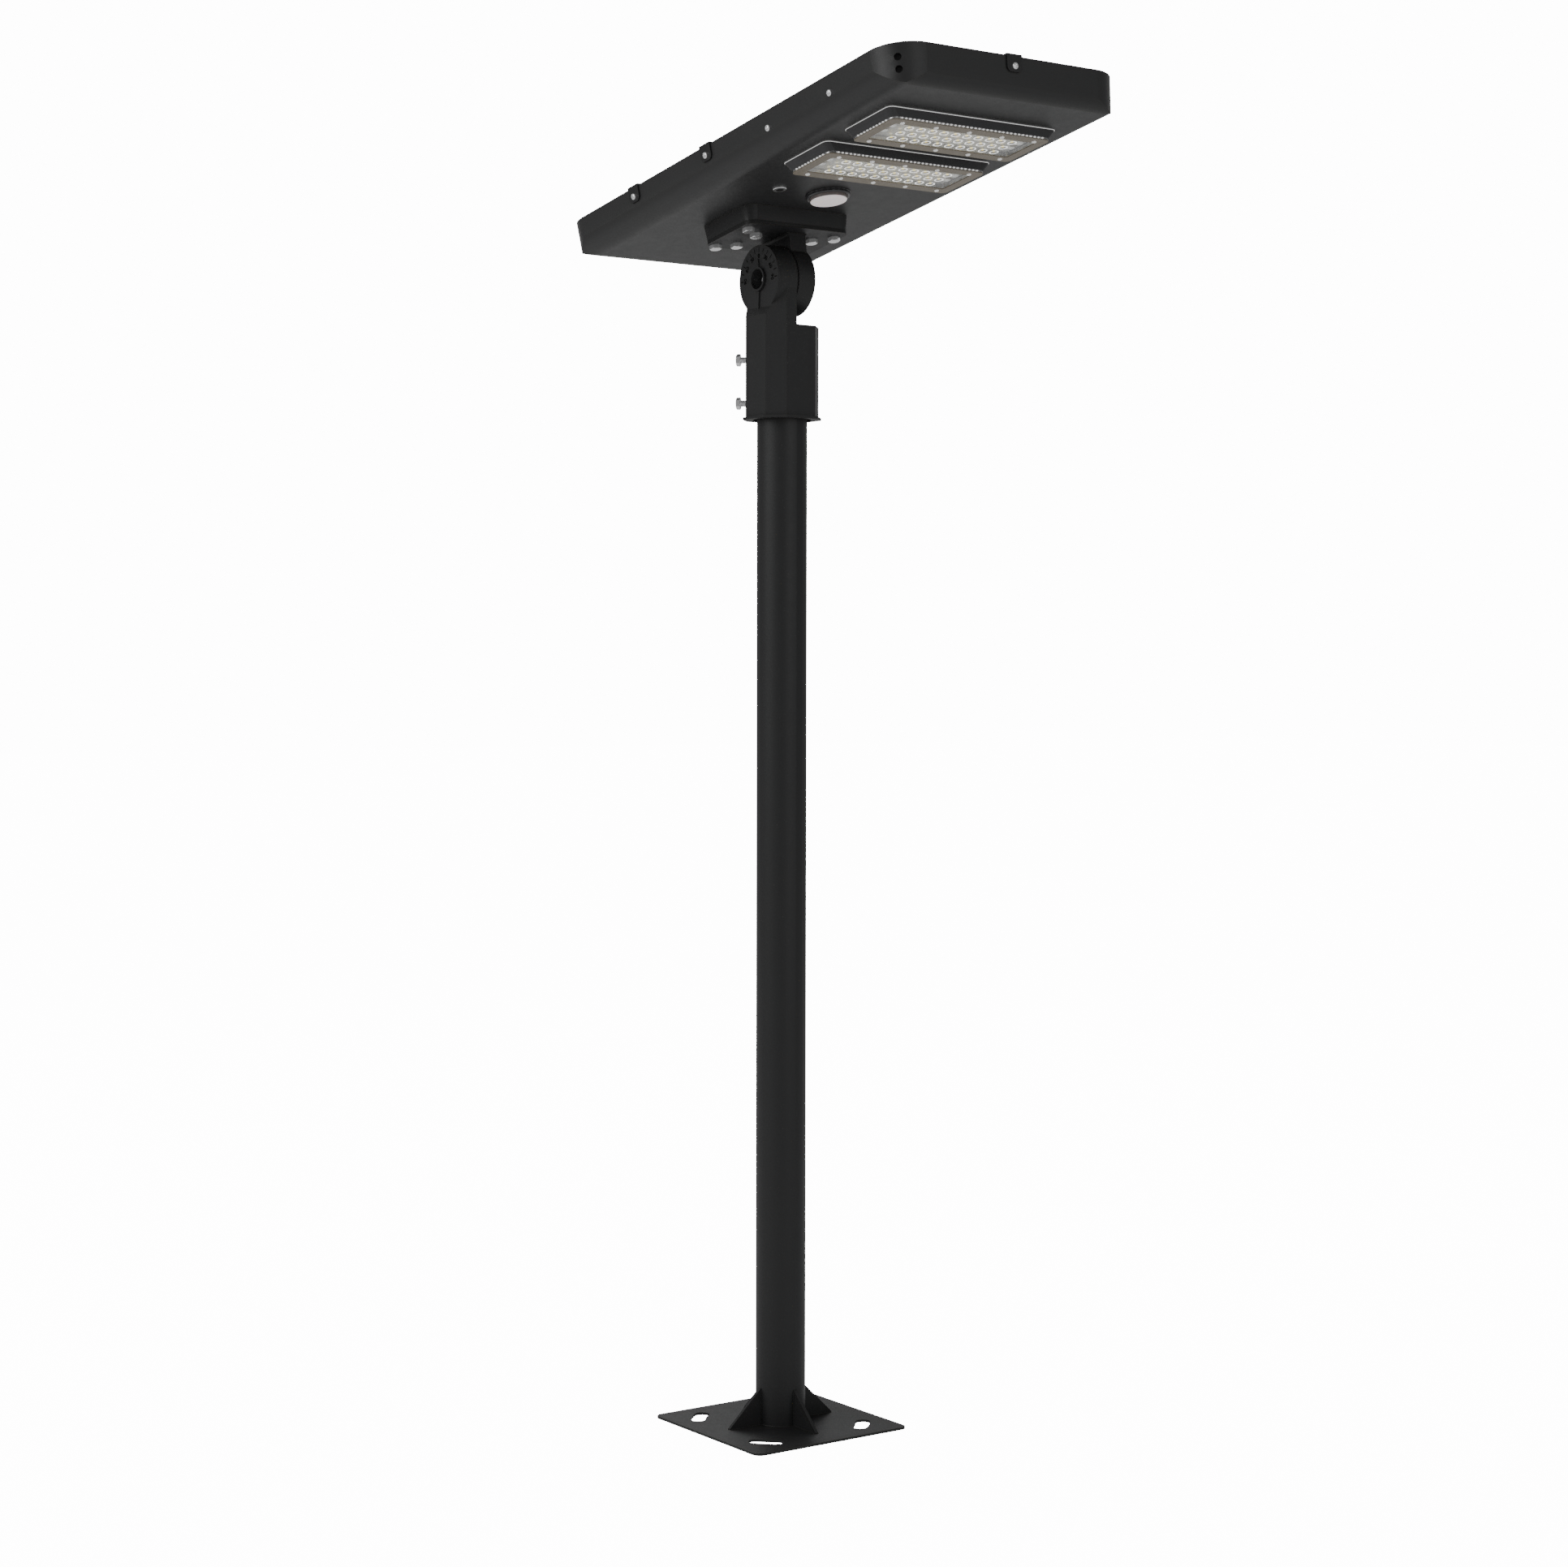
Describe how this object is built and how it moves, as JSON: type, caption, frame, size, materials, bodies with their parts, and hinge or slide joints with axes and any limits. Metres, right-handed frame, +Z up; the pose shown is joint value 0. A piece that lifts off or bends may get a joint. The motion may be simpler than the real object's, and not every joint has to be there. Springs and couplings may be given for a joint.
{
  "type": "solar street lamp",
  "caption": "All-in-one solar street lamp: panel-topped head with two light modules and a sensor, on a tilting, swivelling slip fitter, pole and base plate.",
  "frame": {"origin": "centre of the underside of the base plate, on the pole axis", "axes": "+Z up the pole, +X the way the head's nose points, +Y to the left of someone looking along +X"},
  "size_m": [0.6684, 0.3296, 1.5638],
  "materials": {
    "pole_steel": "satin near-black grey powder coat on steel",
    "bracket_cast": "satin near-black grey powder coat on cast aluminium",
    "housing_cast": "fine satin dark grey powder coat on cast aluminium",
    "stainless": "polished stainless fasteners",
    "zinc": "zinc-plated steel, inside",
    "bezel_black": "matt black moulding",
    "gasket_white": "pale silicone",
    "gasket_black": "black foam rubber",
    "module_body": "bright machined edge",
    "module_frame": "warm grey satin plate",
    "module_lens": "clear moulded lens",
    "board_white": "white solder mask",
    "led_phosphor": "yellow phosphor",
    "sensor_shell": "dark satin plastic",
    "sensor_lens": "milky diffusing lens",
    "switch_metal": "bright plated ring",
    "switch_cap": "black cap",
    "panel_glass": "low-iron tempered glass",
    "silicon": "blue-black monocrystalline cells",
    "backsheet": "black backsheet",
    "battery_wrap": "blue shrink wrap over cell cans",
    "tray_plastic": "black moulding",
    "strap_steel": "thin strap",
    "circuit_green": "green circuit board",
    "controller_case": "anodised case",
    "lead_rubber": "black insulated lead"
  },
  "bodies": {
    "pole": {"base_plate": "pole_steel", "base_gussets": "pole_steel", "pole_tube": "pole_steel"},
    "fitter": {"slip_fitter": "bracket_cast", "set_screws": "stainless", "pivot_bolt": "stainless", "pivot_washer": "stainless", "pivot_nut": "stainless"},
    "head": {"backing_plate": "zinc", "battery_board": "circuit_green", "battery_cells": "battery_wrap", "battery_straps": "strap_steel", "battery_tray": "tray_plastic", "charge_controller": "controller_case", "clip_screws": "stainless", "flange_bolts": "stainless", "internal_leads": "lead_rubber", "junction_box": "tray_plastic", "led_bezel_front": "bezel_black", "led_bezel_rear": "bezel_black", "led_board_front": "board_white", "led_board_rear": "board_white", "led_body_front": "module_body", "led_body_rear": "module_body", "led_chips_front": "led_phosphor", "led_chips_rear": "led_phosphor", "led_frame_front": "module_frame", "led_frame_rear": "module_frame", "led_gasket_front": "gasket_white", "led_gasket_rear": "gasket_white", "led_lens_front": "module_lens", "led_lens_rear": "module_lens", "led_screws_front": "stainless", "led_screws_rear": "stainless", "led_terminals_front": "board_white", "led_terminals_rear": "board_white", "lower_housing": "housing_cast", "panel_backsheet": "backsheet", "panel_clips": "housing_cast", "panel_gasket": "gasket_black", "sensor_board": "circuit_green", "sensor_lens": "sensor_lens", "sensor_ring": "sensor_shell", "side_screws": "stainless", "solar_cells": "silicon", "solar_glass": "panel_glass", "switch_bezel": "switch_metal", "switch_nut": "zinc", "tilt_arm": "bracket_cast"},
    "button": {"power_button": "switch_cap"}
  },
  "joints": [
    {"name": "swivel", "type": "hinge", "parent": "pole", "child": "fitter", "pos_m": [0, 0, 1.25], "axis": [0, 0, 1], "continuous": true},
    {"name": "head_tilt", "type": "hinge", "parent": "fitter", "child": "head", "pos_m": [0, 0, 1.3695], "axis": [0, -1, 0], "range_deg": [-100, 80]},
    {"name": "power_press", "type": "slide", "parent": "head", "child": "button", "axis": [-0.1706, 0, 0.9853], "range_m": [0, 0.002], "stiffness_N_per_m": 300, "springref_m": -0.002}
  ]
}
